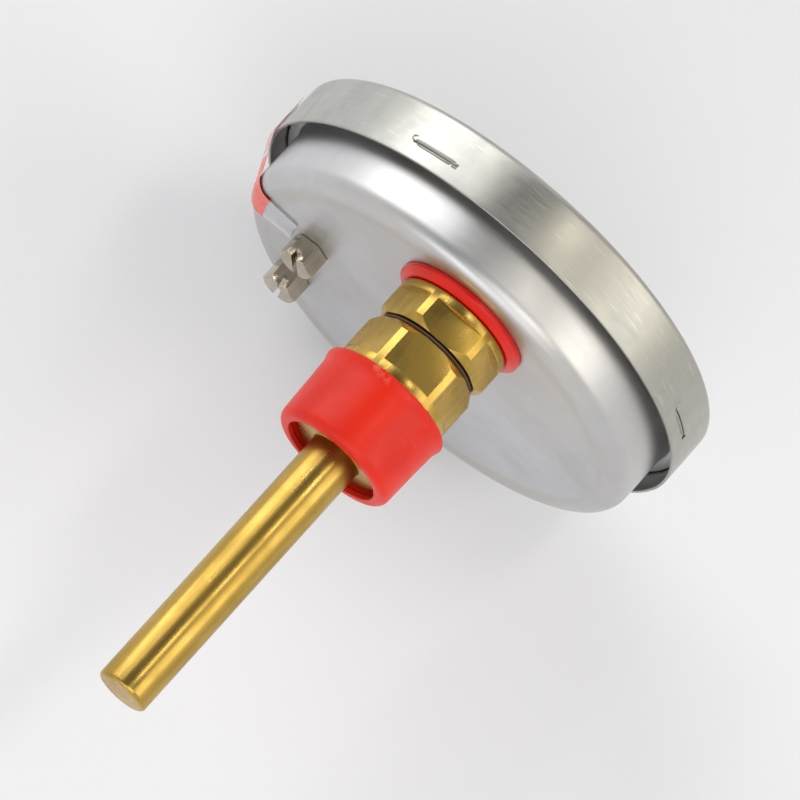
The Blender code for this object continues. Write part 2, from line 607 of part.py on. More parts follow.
def make_pinion_and_pointer():
    ring_of_teeth = tooth_run(PINION_TEETH, PINION_TEETH, math.pi / 2, 0.42 * MM, 0.40 * MM, 0.10 * MM)
    pinion = prism("pinion", ring_of_teeth, SECTOR_PLATE[0] - 0.4 * MM, SECTOR_PLATE[1] + 0.4 * MM,
                   pointer_axis, "brass", turn=pinion_phase())
    arbor = rod("pinion_arbor", ARBOR_RADIUS, ARBOR_START, 16.9 * MM, pointer_axis)
    combine(pinion, arbor, "UNION")
    ring("hairspring_collet", PIN_HOLE, 1.6 * MM, 9.35 * MM, 9.95 * MM, pointer_axis, material="brass",
         steps=SMALL)
    low, high = POINTER_PLATE
    tip, tail, boss = 38.0 * MM, 13.0 * MM, 3.6 * MM
    outline = [(tip, -0.25 * MM), (tip, 0.25 * MM)] + arc((0, 0), boss, 15, 165, 8)
    outline += [(-tail, 1.8 * MM), (-tail, -1.8 * MM)] + arc((0, 0), boss, 195, 345, 8)
    pointer = prism("pointer", outline, low, high, pointer_axis, "black_paint")
    neck = 1.7 * MM
    bore(pointer, neck + GAP, low - MM, high + MM, pointer_axis)
    hub = [(0, high + 1.1 * MM), (2.9 * MM, high + 1.1 * MM), (3.1 * MM, high + 0.9 * MM),
           (3.1 * MM, high + GAP), (neck, high + GAP), (neck, 15.4 * MM), (PIN_HOLE, 15.4 * MM),
           (PIN_HOLE, 17.2 * MM), (0, 17.2 * MM)]
    turned("pointer_hub", hub, pointer_axis, material="black_paint", steps=24)


def pinion_phase():
    """Turns the pinion so that a gap faces the sector's tooth at the line of centres."""
    from_line = (SECTOR_REST_TURN + TOOTH_ANGLE / 2) / TOOTH_ANGLE
    fraction = from_line - round(from_line)
    pinion_step = 2 * math.pi / PINION_TEETH
    first_tooth = math.pi / 2 - pinion_step * (PINION_TEETH - 1) / 2
    gap_wanted = SECTOR_DIRECTION - fraction * pinion_step
    return gap_wanted - first_tooth - pinion_step / 2


def make_hairspring():
    level, turns, inner, outer, count = 9.65 * MM, 3.0, 2.1 * MM, 5.2 * MM, 42
    start = math.radians(60)
    points = []
    for k in range(count + 1):
        angle = start + 2 * math.pi * turns * k / count
        radius = inner + (outer - inner) * k / count
        points.append((radius * math.cos(angle), radius * math.sin(angle), level))
    wire("hairspring", points, 0.14 * MM, case, "copper")
    stud_angle, stud_distance = start + 2 * math.pi * turns + math.radians(6), 5.9 * MM
    rod("hairspring_stud", 0.6 * MM, 9.2 * MM, UPPER_PLATE[0] - GAP, case,
        (stud_distance * math.cos(stud_angle), stud_distance * math.sin(stud_angle)), "brass")


def make_dial():
    low, high = DIAL_LEVEL, DIAL_LEVEL + DIAL_THICKNESS
    dial = rod("dial_plate", DIAL_RADIUS, low, high, case, material="white_paint", steps=ROUND)
    bore(dial, 2.2 * MM, low - MM, high + MM, case)
    for k, centre in enumerate(DIAL_POSTS):
        bore(dial, MOVEMENT_SHANK + GAP, low - MM, high + MM, case, centre)
        post = rod(f"dial_post_{k + 1}", 1.75 * MM, UPPER_PLATE[1] + GAP, low - GAP, case, centre, "brass")
        bore(post, MOVEMENT_SHANK + GAP, low - 1.8 * MM, low + MM, case, centre)
        slotted_screw(f"dial_screw_{k + 1}", centre, 1.5 * MM, high + 0.1 * MM, high + 0.8 * MM,
                      MOVEMENT_SHANK, low - 1.4 * MM)


clear_scene()
parts = new_collection(ASSEMBLY)
cutters = new_collection("cutters")
paint = {name: make_material(name) for name in MATERIALS}
quarter = math.pi / 2
stem = make_empty("stem_axis", (0, 0, 0), (-quarter, 0, 0))
case = make_empty("case_centre", (0, -CASE_TO_SEAT, -ECCENTRICITY), (quarter, math.pi, 0))
pointer_axis = make_empty("pointer_axis", (0, 0, 0), (0, 0, 0), case)
sector_axis = make_empty("sector_axis", (PIVOT[0], PIVOT[1], 0), (0, 0, 0), case)
link_axis = make_empty("link_axis", (TAIL[0], TAIL[1], 0), (0, 0, 0), case)

make_thermowell()
make_thread_cap()
make_stem_adapter()
make_stem_seals_and_bulb()
make_case_pan()
make_bezel()
make_front()
make_adapter_nut()
make_case_screws()
make_seal_label()
make_anchor_block()
make_bourdon()
make_capillary()
make_plates()
make_plate_fasteners()
make_sector()
make_link()
make_pinion_and_pointer()
make_hairspring()
make_dial()
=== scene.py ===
"""Looks of the dial thermometer: fine surfaces, finishes, camera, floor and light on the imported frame.

Sizes are in metres. The row frame has +Y along the well and +Z at 12 o'clock of the dial. Case pieces
are made in CASE, whose Z runs from the pan's back plane to the front, and stem pieces in STEM, whose Z
runs along the well.
"""

import json
import math

import bmesh
import bpy
from mathutils import Euler, Matrix, Vector, noise


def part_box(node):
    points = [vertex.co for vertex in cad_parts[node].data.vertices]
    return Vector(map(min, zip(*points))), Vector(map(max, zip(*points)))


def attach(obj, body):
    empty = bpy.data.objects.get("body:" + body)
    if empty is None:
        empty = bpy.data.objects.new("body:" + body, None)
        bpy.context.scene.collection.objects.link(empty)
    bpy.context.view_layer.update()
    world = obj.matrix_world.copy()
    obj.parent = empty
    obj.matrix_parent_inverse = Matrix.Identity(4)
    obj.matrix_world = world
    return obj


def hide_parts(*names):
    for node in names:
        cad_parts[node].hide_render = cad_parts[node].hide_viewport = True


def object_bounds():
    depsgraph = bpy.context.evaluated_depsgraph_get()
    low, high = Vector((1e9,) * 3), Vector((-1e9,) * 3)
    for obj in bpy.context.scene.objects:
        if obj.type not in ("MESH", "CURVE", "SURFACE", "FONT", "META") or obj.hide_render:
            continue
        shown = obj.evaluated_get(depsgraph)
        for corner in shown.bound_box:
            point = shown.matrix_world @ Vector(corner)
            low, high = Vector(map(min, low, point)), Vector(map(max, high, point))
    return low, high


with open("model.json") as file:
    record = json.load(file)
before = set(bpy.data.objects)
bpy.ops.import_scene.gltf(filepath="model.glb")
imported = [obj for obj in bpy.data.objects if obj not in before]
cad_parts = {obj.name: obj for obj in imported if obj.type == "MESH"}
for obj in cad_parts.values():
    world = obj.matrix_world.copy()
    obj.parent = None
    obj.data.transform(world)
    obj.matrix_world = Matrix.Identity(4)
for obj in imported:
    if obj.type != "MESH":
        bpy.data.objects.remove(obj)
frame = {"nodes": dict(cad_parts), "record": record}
CAD_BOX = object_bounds()

MM = 0.001
TAU = 2 * math.pi
SHEET = 0.6 * MM

bpy.context.scene.view_settings.view_transform = "Standard"


# Places and sizes from the frame ----------------------------------------------------------------

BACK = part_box("case_pan")[1].y


def centre(node):
    low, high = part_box(node)
    return (low + high) / 2


def radius(node):
    """Half of a round node's height, which is its outer radius."""
    low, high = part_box(node)
    return (high.z - low.z) / 2


def along(node):
    """Where a stem piece starts and ends on the well's axis."""
    low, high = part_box(node)
    return low.y, high.y


def levels(node):
    """Where a case piece starts and ends, from the pan's back plane towards the front."""
    low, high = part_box(node)
    return BACK - high.y, BACK - low.y


CASE_CENTRE = Vector((centre("case_pan").x, BACK, centre("case_pan").z))
CASE = Matrix.Translation(CASE_CENTRE) @ Euler((math.pi / 2, math.pi, 0)).to_matrix().to_4x4()
STEM = Euler((-math.pi / 2, 0, 0)).to_matrix().to_4x4()
STEM_IN_CASE = CASE.inverted() @ Vector((0, BACK, 0))
PAN_WALL = 46.3 * MM                # outer radius of the pan's wall
PAN_FILLET = 3.7 * MM               # between the pan's back and its wall, on the outside


# Node materials ---------------------------------------------------------------------------------

class Finish:
    """A Principled material whose colour, roughness and bump come from noise in object space."""

    def __init__(self, name, roughness=0.4, metallic=0.0):
        self.material = bpy.data.materials.new(name)
        self.material.use_nodes = True
        self.nodes = self.material.node_tree.nodes
        self.links = self.material.node_tree.links
        self.shader = self.nodes["Principled BSDF"]
        self.shader.inputs["Metallic"].default_value = metallic
        self.shader.inputs["Roughness"].default_value = roughness
        self.point = self.nodes.new("ShaderNodeTexCoord").outputs["Object"]
        self.height = None

    def join(self, source, target):
        """Links a socket, or sets a plain value."""
        if isinstance(source, bpy.types.NodeSocket):
            self.links.new(source, target)
        else:
            target.default_value = source

    def maths(self, operation, *values):
        node = self.nodes.new("ShaderNodeMath")
        node.operation = operation
        for value, socket in zip(values, node.inputs):
            self.join(value, socket)
        return node.outputs[0]

    def polar(self, around, across):
        """Coordinates that run round the local Z axis without a seam: slow round it, fast across."""
        split = self.nodes.new("ShaderNodeSeparateXYZ")
        self.links.new(self.point, split.inputs[0])
        x, y, z = split.outputs
        distance = self.maths("SQRT", self.maths("ADD", self.maths("MULTIPLY", x, x),
                                                 self.maths("MULTIPLY", y, y)))
        merge = self.nodes.new("ShaderNodeCombineXYZ")
        for value, socket in zip((x, y), merge.inputs):
            unit = self.maths("DIVIDE", value, self.maths("MAXIMUM", distance, 1e-5))
            self.links.new(self.maths("MULTIPLY", unit, around), socket)
        self.links.new(self.maths("MULTIPLY", self.maths("ADD", distance, z), across), merge.inputs[2])
        return merge.outputs[0], distance, z

    def noise(self, scale, detail=3.0, stretch=None, vector=None, distortion=0.0):
        node = self.nodes.new("ShaderNodeTexNoise")
        node.inputs["Scale"].default_value = scale
        node.inputs["Detail"].default_value = detail
        node.inputs["Distortion"].default_value = distortion
        vector = vector or self.point
        if stretch:
            mapping = self.nodes.new("ShaderNodeMapping")
            mapping.inputs["Scale"].default_value = stretch
            self.links.new(vector, mapping.inputs["Vector"])
            vector = mapping.outputs[0]
        self.links.new(vector, node.inputs["Vector"])
        return node.outputs["Fac"]

    def span(self, value, low, high, out_low=0.0, out_high=1.0):
        """Maps the stretch low..high to out_low..out_high and clamps the rest."""
        node = self.nodes.new("ShaderNodeMapRange")
        self.links.new(value, node.inputs["Value"])
        for k, number in enumerate((low, high, out_low, out_high)):
            node.inputs[k + 1].default_value = number
        return node.outputs[0]

    def blend(self, share, first, second):
        node = self.nodes.new("ShaderNodeMix")
        node.data_type = "RGBA"
        self.join(share, node.inputs[0])
        for colour, socket in ((first, node.inputs[6]), (second, node.inputs[7])):
            self.join(colour if isinstance(colour, bpy.types.NodeSocket) else (*colour, 1.0), socket)
        return node.outputs[2]

    def colour(self, value):
        self.join(value, self.shader.inputs["Base Color"])

    def roughness(self, value, low, high):
        self.links.new(self.span(value, 0.3, 0.7, low, high), self.shader.inputs["Roughness"])

    def bump(self, value, depth, strength=1.0):
        node = self.nodes.new("ShaderNodeBump")
        node.inputs["Distance"].default_value = depth
        node.inputs["Strength"].default_value = strength
        self.links.new(value, node.inputs["Height"])
        if self.height:
            self.links.new(self.height, node.inputs["Normal"])
        self.height = node.outputs[0]
        self.links.new(self.height, self.shader.inputs["Normal"])

    def set(self, **values):
        for name, value in values.items():
            self.shader.inputs[name.replace("_", " ")].default_value = value
        return self


def steel_sheet(name, clean, stain, rough_low, rough_high, ring=None, scratches=0.15):
    """Rolled stainless sheet: fine grain, cloudy smudges, a little heat tint and small dings."""
    f = Finish(name, metallic=1.0)
    grain_point, distance, _ = f.polar(9.0, 2600.0)
    grain = f.noise(1.0, 4.0, vector=grain_point)
    cloud = f.noise(42.0, 4.0, distortion=0.6)
    broad = f.noise(14.0, 2.0)
    tint = f.blend(f.span(broad, 0.42, 0.68), clean, stain)
    tint = f.blend(f.span(cloud, 0.42, 0.75, 0.0, 0.5), tint, [0.78 * c for c in clean])
    if ring:
        near, width, colour = ring
        offset = f.maths("ABSOLUTE", f.maths("SUBTRACT", distance, near))
        wobble = f.maths("ADD", offset, f.span(cloud, 0.3, 0.7, -width, width))
        tint = f.blend(f.span(wobble, 0.0, width, 0.35, 0.0), tint, colour)
    smudge = f.noise(1.0, 4.0, stretch=(70.0, 260.0, 70.0), distortion=0.8)
    tint = f.blend(f.span(smudge, 0.45, 0.70, 0.0, scratches), tint, [0.72 * c for c in clean])
    line_point, _, _ = f.polar(7.0, 3600.0)
    line = f.maths("MULTIPLY", f.span(f.noise(1.0, 2.0, vector=line_point), 0.62, 0.74), 0.7 * scratches)
    f.colour(f.blend(line, tint, (0.80, 0.79, 0.74)))
    mixed = f.maths("ADD", f.maths("MULTIPLY", cloud, 0.65), f.maths("MULTIPLY", grain, 0.35))
    f.roughness(mixed, rough_low, rough_high)
    f.bump(grain, 0.004 * MM, 0.55)
    f.bump(f.noise(900.0, 2.0), 0.006 * MM, 0.3)
    f.bump(f.noise(60.0, 2.0), 0.12 * MM, 0.25)
    return f.material


def brass(name, light, deep, rough_low, rough_high, turning=0.6, pits=0.5):
    """Machined brass: fine turning lines, drawn streaks, tiny pits and darker handled areas."""
    f = Finish(name, metallic=1.0)
    grain_point, _, _ = f.polar(5.0, 3200.0)
    turned = f.noise(1.0, 3.0, vector=grain_point)
    cloud = f.noise(120.0, 4.0, distortion=0.5)
    streak = f.noise(1.0, 3.0, stretch=(900.0, 900.0, 60.0))
    speck = f.noise(2400.0, 1.0)
    mixed = f.maths("ADD", f.maths("MULTIPLY", cloud, 0.6), f.maths("MULTIPLY", streak, 0.4))
    tint = f.blend(f.span(mixed, 0.38, 0.66), light, deep)
    tint = f.blend(f.span(speck, 0.72, 0.78, 0.0, pits), tint, (0.16, 0.10, 0.03))
    f.colour(tint)
    f.roughness(mixed, rough_low, rough_high)
    f.bump(turned, 0.004 * MM, turning)
    f.bump(speck, 0.010 * MM, 0.35 * pits)
    f.bump(streak, 0.006 * MM, 0.25)
    return f.material


def plain_metal(name, light, deep, rough_low, rough_high):
    """Stamped or drawn metal of the movement, seen only when the case is open."""
    f = Finish(name, metallic=1.0)
    cloud = f.noise(300.0, 3.0)
    f.colour(f.blend(f.span(cloud, 0.35, 0.7), light, deep))
    f.roughness(cloud, rough_low, rough_high)
    f.bump(f.noise(1.0, 2.0, stretch=(6000.0, 900.0, 900.0)), 0.004 * MM, 0.5)
    return f.material


def soft_plastic(name, colour, shade, scuff, rough_low, rough_high, lip_level=None):
    """Moulded polyethylene: waxy sheen, faint flow marks, pale rubbed spots and small scratches."""
    f = Finish(name)
    flow = f.noise(55.0, 4.0, distortion=1.2)
    fine = f.noise(1300.0, 2.0)
    tint = f.blend(f.span(flow, 0.35, 0.7), colour, shade)
    scratch_point, _, level = f.polar(40.0, 5200.0)
    scratch = f.span(f.noise(1.0, 2.0, vector=scratch_point), 0.66, 0.72)
    rubbed = f.span(f.noise(150.0, 3.0), 0.58, 0.66)
    marks = f.maths("MULTIPLY", scratch, rubbed)
    if lip_level:
        marks = f.maths("MAXIMUM", marks, f.maths("MULTIPLY", f.span(level, lip_level, 0.0),
                                                  f.span(f.noise(420.0, 3.0), 0.60, 0.70, 0.0, 0.7)))
    f.colour(f.blend(f.maths("MULTIPLY", marks, 0.55), tint, scuff))
    f.roughness(flow, rough_low, rough_high)
    f.bump(fine, 0.010 * MM, 0.25)
    f.bump(marks, 0.02 * MM, 0.4)
    f.bump(f.noise(90.0, 2.0), 0.10 * MM, 0.25)
    f.set(Subsurface_Weight=0.12, Subsurface_Scale=1.2 * MM, Specular_IOR_Level=0.32)
    return f.material


def matt(name, colour, shade, roughness, scale, depth):
    """Rubber, fibre or paint: a little colour variation over a fine surface."""
    f = Finish(name)
    cloud = f.noise(scale * 0.15, 3.0)
    f.colour(f.blend(f.span(cloud, 0.3, 0.7), colour, shade))
    f.roughness(cloud, roughness - 0.06, roughness + 0.06)
    f.bump(f.noise(scale, 2.0), depth, 0.4)
    return f.material


def seal_film():
    """Translucent printed film: milky, with a coral stripe over the pan's edge and thin coral borders."""
    f = Finish("seal_film")
    _, distance, level = f.polar(1.0, 1.0)
    cloud = f.noise(180.0, 3.0)
    stripe = f.maths("MULTIPLY", f.span(distance, 41.6 * MM, 41.8 * MM), f.span(level, 6.2 * MM, 6.0 * MM))
    on_band = f.span(level, 6.0 * MM, 7.5 * MM)
    milk = f.blend(f.span(cloud, 0.3, 0.7), (0.80, 0.81, 0.84), (0.70, 0.71, 0.75))
    rose = f.blend(on_band, milk, (0.88, 0.52, 0.50))
    f.colour(f.blend(stripe, rose, (0.84, 0.11, 0.075)))
    clear = f.maths("ADD", 0.36, f.maths("MULTIPLY", f.span(cloud, 0.3, 0.7), 0.08))
    clear = f.maths("ADD", clear, f.maths("MULTIPLY", on_band, 0.22))
    f.links.new(f.maths("MAXIMUM", clear, f.maths("MULTIPLY", stripe, 0.96)), f.shader.inputs["Alpha"])
    f.roughness(cloud, 0.18, 0.32)
    f.bump(f.noise(500.0, 2.0), 0.03 * MM, 0.3)
    return f.material


def clear_glass():
    f = Finish("clear_glass", roughness=0.03)
    smear = f.noise(35.0, 3.0)
    f.roughness(smear, 0.02, 0.06)
    f.colour(f.blend(f.span(smear, 0.3, 0.7), (0.10, 0.12, 0.12), (0.14, 0.16, 0.16)))
    f.set(Alpha=0.08, IOR=1.5, Specular_IOR_Level=1.0)
    return f.material


FINISHES = {
    "pan_steel": steel_sheet("pan_steel", (0.62, 0.625, 0.64), (0.57, 0.55, 0.52), 0.34, 0.48,
                             ring=(41.0 * MM, 1.6 * MM, (0.50, 0.46, 0.36))),
    "stainless": steel_sheet("band_steel", (0.50, 0.50, 0.475), (0.43, 0.41, 0.345), 0.27, 0.50,
                             scratches=0.5),
    "turned_brass": brass("turned_brass", (0.54, 0.355, 0.085), (0.40, 0.255, 0.050), 0.21, 0.38),
    "nickel_plate": brass("nickel_plate", (0.56, 0.50, 0.39), (0.36, 0.31, 0.22), 0.12, 0.26, 0.2, 0.45),
    "red_plastic": soft_plastic("red_plastic", (0.74, 0.018, 0.002), (0.62, 0.012, 0.002),
                                (0.92, 0.30, 0.20), 0.36, 0.48, lip_level=3.0 * MM),
    "red_gasket": soft_plastic("red_gasket", (0.72, 0.012, 0.003), (0.60, 0.008, 0.002),
                               (0.80, 0.12, 0.08), 0.20, 0.30),
    "black_rubber": matt("black_rubber", (0.020, 0.020, 0.020), (0.034, 0.033, 0.032), 0.62, 1800.0,
                         0.02 * MM),
    "fibre": matt("fibre", (0.060, 0.030, 0.020), (0.095, 0.050, 0.030), 0.82, 1400.0, 0.05 * MM),
    "bronze": plain_metal("bronze", (0.72, 0.43, 0.25), (0.58, 0.31, 0.16), 0.28, 0.42),
    "glass": clear_glass(),
    "white_dial": matt("white_dial", (0.83, 0.83, 0.80), (0.79, 0.79, 0.76), 0.42, 900.0, 0.008 * MM),
    "black_paint": matt("black_paint", (0.012, 0.012, 0.013), (0.022, 0.022, 0.023), 0.40, 1500.0,
                        0.008 * MM),
    "seal_paper": seal_film(),
    "movement_steel": plain_metal("movement_steel", (0.50, 0.51, 0.53), (0.38, 0.39, 0.41), 0.26, 0.38),
    "movement_brass": plain_metal("movement_brass", (0.74, 0.54, 0.24), (0.62, 0.43, 0.16), 0.26, 0.40),
}


# Mesh making ------------------------------------------------------------------------------------

def rounded(corners, steps=5):
    """A profile through (radius, height, fillet) corners, each with an arc of its fillet's radius."""
    points = []
    for i, (r, h, fillet) in enumerate(corners):
        here = Vector((r, h))
        if not fillet:
            points.append((r, h))
            continue
        before = (Vector(corners[i - 1][:2]) - here).normalized()
        after = (Vector(corners[(i + 1) % len(corners)][:2]) - here).normalized()
        half = before.angle(after) / 2
        middle = here + (before + after).normalized() * fillet / math.sin(half)
        start = here + before * fillet / math.tan(half) - middle
        end = here + after * fillet / math.tan(half) - middle
        turn = math.atan2(start.x * end.y - start.y * end.x, start.dot(end))
        for k in range(steps + 1):
            spoke = Matrix.Rotation(turn * k / steps, 2) @ start
            points.append((middle.x + spoke.x, middle.y + spoke.y))
    return points


def refined(points, longest):
    """Adds points so that no stretch of a profile is longer than that."""
    result = [points[0]]
    for (r0, h0), (r1, h1) in zip(points, points[1:]):
        count = max(1, math.ceil(math.hypot(r1 - r0, h1 - h0) / longest))
        result += [(r0 + (r1 - r0) * k / count, h0 + (h1 - h0) * k / count) for k in range(1, count + 1)]
    return result


def show(mesh, name, place, body, slot, nodes=(), finish=None, sharp=30):
    """Turns a bmesh into a finished piece that rides on a body and stands for CAD nodes."""
    bmesh.ops.recalc_face_normals(mesh, faces=mesh.faces[:])
    data = bpy.data.meshes.new(name)
    mesh.to_mesh(data)
    mesh.free()
    data.shade_smooth()
    data.set_sharp_from_angle(angle=math.radians(sharp))
    data.materials.append(FINISHES[finish or slot])
    piece = bpy.data.objects.new(name, data)
    bpy.context.scene.collection.objects.link(piece)
    piece.matrix_world = place
    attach(piece, body)
    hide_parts(*nodes)
    return piece


def lathe(profile, steps=160, closed=False, warp=None):
    """Turns a profile about Z. warp(radius, angle, height) may return a moved (radius, height)."""
    mesh = bmesh.new()
    rings = []
    for r, h in profile:
        ring = []
        for k in range(steps):
            angle = TAU * k / steps
            if r < 1e-7:
                ring = [mesh.verts.new((0, 0, h))] * steps
                break
            rr, hh = warp(r, angle, h) if warp else (r, h)
            ring.append(mesh.verts.new((rr * math.cos(angle), rr * math.sin(angle), hh)))
        rings.append(ring)
    for a, b in zip(rings, rings[1:] + (rings[:1] if closed else [])):
        for k in range(steps):
            n = (k + 1) % steps
            corners = list(dict.fromkeys((a[k], a[n], b[n], b[k])))
            if len(corners) > 2:
                mesh.faces.new(corners)
    bmesh.ops.recalc_face_normals(mesh, faces=mesh.faces[:])
    return mesh


def prism(outline, low, high):
    """A flat outline raised from one level to another."""
    mesh = bmesh.new()
    face = mesh.faces.new([mesh.verts.new((x, y, low)) for x, y in outline])
    raised = bmesh.ops.extrude_face_region(mesh, geom=[face])["geom"]
    top = [v for v in raised if isinstance(v, bmesh.types.BMVert)]
    bmesh.ops.translate(mesh, vec=(0, 0, high - low), verts=top)
    bmesh.ops.recalc_face_normals(mesh, faces=mesh.faces[:])
    return mesh


def disc(r, low, high, at=(0, 0), steps=48):
    outline = [(at[0] + r * math.cos(TAU * k / steps), at[1] + r * math.sin(TAU * k / steps))
               for k in range(steps)]
    return prism(outline, low, high)


def block(size, at, turn):
    """A box about a point, turned about Z."""
    mesh = bmesh.new()
    bmesh.ops.create_cube(mesh, size=1.0, matrix=Matrix.Translation(at) @ Matrix.Rotation(turn, 4, "Z")
                          @ Matrix.Diagonal((*size, 1.0)))
    return mesh


def hexagon(across_flats, turn=0.0, at=(0, 0)):
    corner = across_flats / 2 / math.cos(math.pi / 6)
    angles = [turn + TAU * k / 6 for k in range(6)]
    return [(at[0] + corner * math.cos(a), at[1] + corner * math.sin(a)) for a in angles]


def loose(mesh):
    """An object for Booleans to work on, which carve() removes again."""
    data = bpy.data.meshes.new("tool")
    mesh.to_mesh(data)
    mesh.free()
    thing = bpy.data.objects.new("tool", data)
    bpy.context.scene.collection.objects.link(thing)
    return thing


def carve(mesh, tools, bevel=0.0, segments=3):
    """Applies (operation, bmesh) Booleans in turn and then bevels the sharp edges. Returns a new bmesh."""
    body = loose(mesh)
    helpers = []
    for operation, tool in tools:
        helper = loose(tool)
        helpers.append(helper)
        step = body.modifiers.new("cut", "BOOLEAN")
        step.operation, step.object, step.solver = operation, helper, "EXACT"
    if bevel:
        step = body.modifiers.new("edges", "BEVEL")
        step.width, step.segments, step.limit_method = bevel, segments, "ANGLE"
        step.angle_limit = math.radians(24)
    evaluated = body.evaluated_get(bpy.context.evaluated_depsgraph_get())
    result = bmesh.new()
    result.from_mesh(evaluated.to_mesh())
    evaluated.to_mesh_clear()
    for thing in [body] + helpers:
        data = thing.data
        bpy.data.objects.remove(thing)
        bpy.data.meshes.remove(data)
    return result


def tube(points, thickness, sides=10):
    """A round wire along points, with closed ends that narrow."""
    mesh = bmesh.new()
    last, end_share = len(points) - 1, 0.35
    rings = []
    for i, point in enumerate(points):
        point = Vector(point)
        heading = (Vector(points[min(i + 1, last)]) - Vector(points[max(i - 1, 0)])).normalized()
        side = heading.cross((0, 0, 1)).normalized()
        up = side.cross(heading)
        size = thickness * (end_share if i in (0, last) else 1.0)
        spokes = [side * math.cos(TAU * k / sides) + up * math.sin(TAU * k / sides) for k in range(sides)]
        rings.append([mesh.verts.new(point + size * spoke) for spoke in spokes])
    for a, b in zip(rings, rings[1:]):
        for k in range(sides):
            mesh.faces.new((a[k], a[(k + 1) % sides], b[(k + 1) % sides], b[k]))
    mesh.faces.new(rings[0])
    mesh.faces.new(rings[-1])
    return mesh


def merge(*meshes):
    """One mesh from several, which it uses up."""
    whole = bmesh.new()
    for mesh in meshes:
        data = bpy.data.meshes.new("part")
        bmesh.ops.recalc_face_normals(mesh, faces=mesh.faces[:])
        mesh.to_mesh(data)
        mesh.free()
        whole.from_mesh(data)
        bpy.data.meshes.remove(data)
    return whole


# Case -------------------------------------------------------------------------------------------

def screw_places():
    """Where the two screws stand on the pan's back, in CASE."""
    return [(CASE.inverted() @ centre(f"case_screw_{k}")).xy for k in (1, 2)]


def make_pan():
    _, top = levels("case_pan")
    flange, inner = radius("case_pan"), PAN_WALL - SHEET
    rim, mouth, foot = 0.2 * MM, 0.9 * MM, 0.7 * MM
    stem_hole, screw_hole = 6.8 * MM, 1.9 * MM
    wave_height, waves_per_metre, noise_level = 0.10 * MM, 55.0, 0.004

    def oil_can(r, angle, h):
        """The drawn sheet isn't quite flat."""
        if h > 2 * SHEET:
            return r, h
        spot = Vector((r * math.cos(angle), r * math.sin(angle), noise_level))
        wave = noise.noise(spot * waves_per_metre)
        return r, h + wave_height * (wave + 0.5) * max(0.0, 1 - (r / PAN_WALL) ** 4)

    profile = rounded([
        (0, 0, 0), (PAN_WALL, 0, PAN_FILLET), (PAN_WALL, top - SHEET, foot),
        (flange, top - SHEET, rim), (flange, top, rim), (inner, top, mouth),
        (inner, SHEET, PAN_FILLET - SHEET), (0, SHEET, 0)], 8)
    tools = [("DIFFERENCE", disc(stem_hole, -MM, 2 * MM, STEM_IN_CASE.xy))]
    tools += [("DIFFERENCE", disc(screw_hole, -MM, 2 * MM, place, 24)) for place in screw_places()]
    pan = carve(lathe(refined(profile, 2.5 * MM), 192, warp=oil_can), tools)
    show(pan, "pan_shell", CASE, "head", "stainless", ["case_pan"], "pan_steel")


# The lanced catches of the bezel's band. Each is a slit with a notch at its end, two lips and a hook.
CATCH_ANGLES = tuple(math.radians(-28.5 + 90.0 * k) for k in range(4))
CATCH_LEVEL, HALF_SLIT = 14.5 * MM, 5.0 * MM
CUT_DEPTH, SLIT_LENGTH, SLIT_HEIGHT, NOTCH = 3.0 * MM, 10.4 * MM, 0.5 * MM, 1.1 * MM
LIPS = ((0.42 * MM, 1.0, 0.34 * MM), (-0.36 * MM, 0.86, 0.16 * MM))    # shift, reach and size


def on_band(r, angle, level):
    return r * math.cos(angle), r * math.sin(angle), level


def catch_lip(outer, middle, shift, reach, size):
    """The slit's pressed edge, which swells out of the band and sinks back at its ends."""
    steps, ramp, sunk, swell = 24, 6, 0.30 * MM, 0.34 * MM
    line = []
    for i in range(steps + 1):
        share = i / steps
        angle = middle + HALF_SLIT / outer * reach * (2 * share - 1)
        rise = min(1.0, ramp * share, ramp * (1 - share))
        r = outer - sunk + swell * math.sin(math.pi * rise / 2)
        line.append(on_band(r, angle, CATCH_LEVEL + shift))
    return tube(line, size)


def catch_hook(outer, middle):
    """The curl at the slit's other end."""
    steps, bulge, rise, half_height, sunk, size = 8, 0.9 * MM, 0.75 * MM, 0.55 * MM, 0.02 * MM, 0.17 * MM
    line = []
    for i in range(steps + 1):
        bend = math.pi * i / steps
        angle = middle - HALF_SLIT / outer - bulge * math.sin(bend) / outer
        height = CATCH_LEVEL + rise - half_height * math.cos(bend)
        line.append(on_band(outer - sunk, angle, height))
    return tube(line, size, 8)


def make_bezel():
    rear, front = levels("bezel_ring")
    outer = radius("bezel_ring")
    inner, lip, corner = outer - SHEET, 44.6 * MM, 1.4 * MM
    edge = 0.18 * MM
    dent, rounds, lengthwise = 0.05 * MM, 2.2, 40.0
    profile = rounded([
        (lip, front, edge), (outer, front, corner), (outer, rear, edge), (inner, rear, edge),
        (inner, front - SHEET, corner - SHEET), (lip, front - SHEET, edge)], 6)
    profile = refined(profile + profile[:1], 2.0 * MM)[:-1]

    def hand_bent(r, angle, h):
        """A pressed band is never quite round."""
        spot = Vector((rounds * math.cos(angle), rounds * math.sin(angle), h * lengthwise))
        return r - dent * (noise.noise(spot) + 1.0), h

    tools, beads = [], []
    for middle in CATCH_ANGLES:
        notch_angle = middle + HALF_SLIT / outer
        slit = block((CUT_DEPTH, SLIT_LENGTH, SLIT_HEIGHT), on_band(outer, middle, CATCH_LEVEL), middle)
        notch = block((CUT_DEPTH, NOTCH, NOTCH), on_band(outer, notch_angle, CATCH_LEVEL), notch_angle)
        tools += [("DIFFERENCE", slit), ("DIFFERENCE", notch)]
        beads += [catch_lip(outer, middle, *lip_size) for lip_size in LIPS]
        beads.append(catch_hook(outer, middle))
    band = carve(lathe(profile, 256, closed=True, warp=hand_bent), tools)
    show(merge(band, *beads), "bezel_band", CASE, "head", "stainless", ["bezel_ring"])


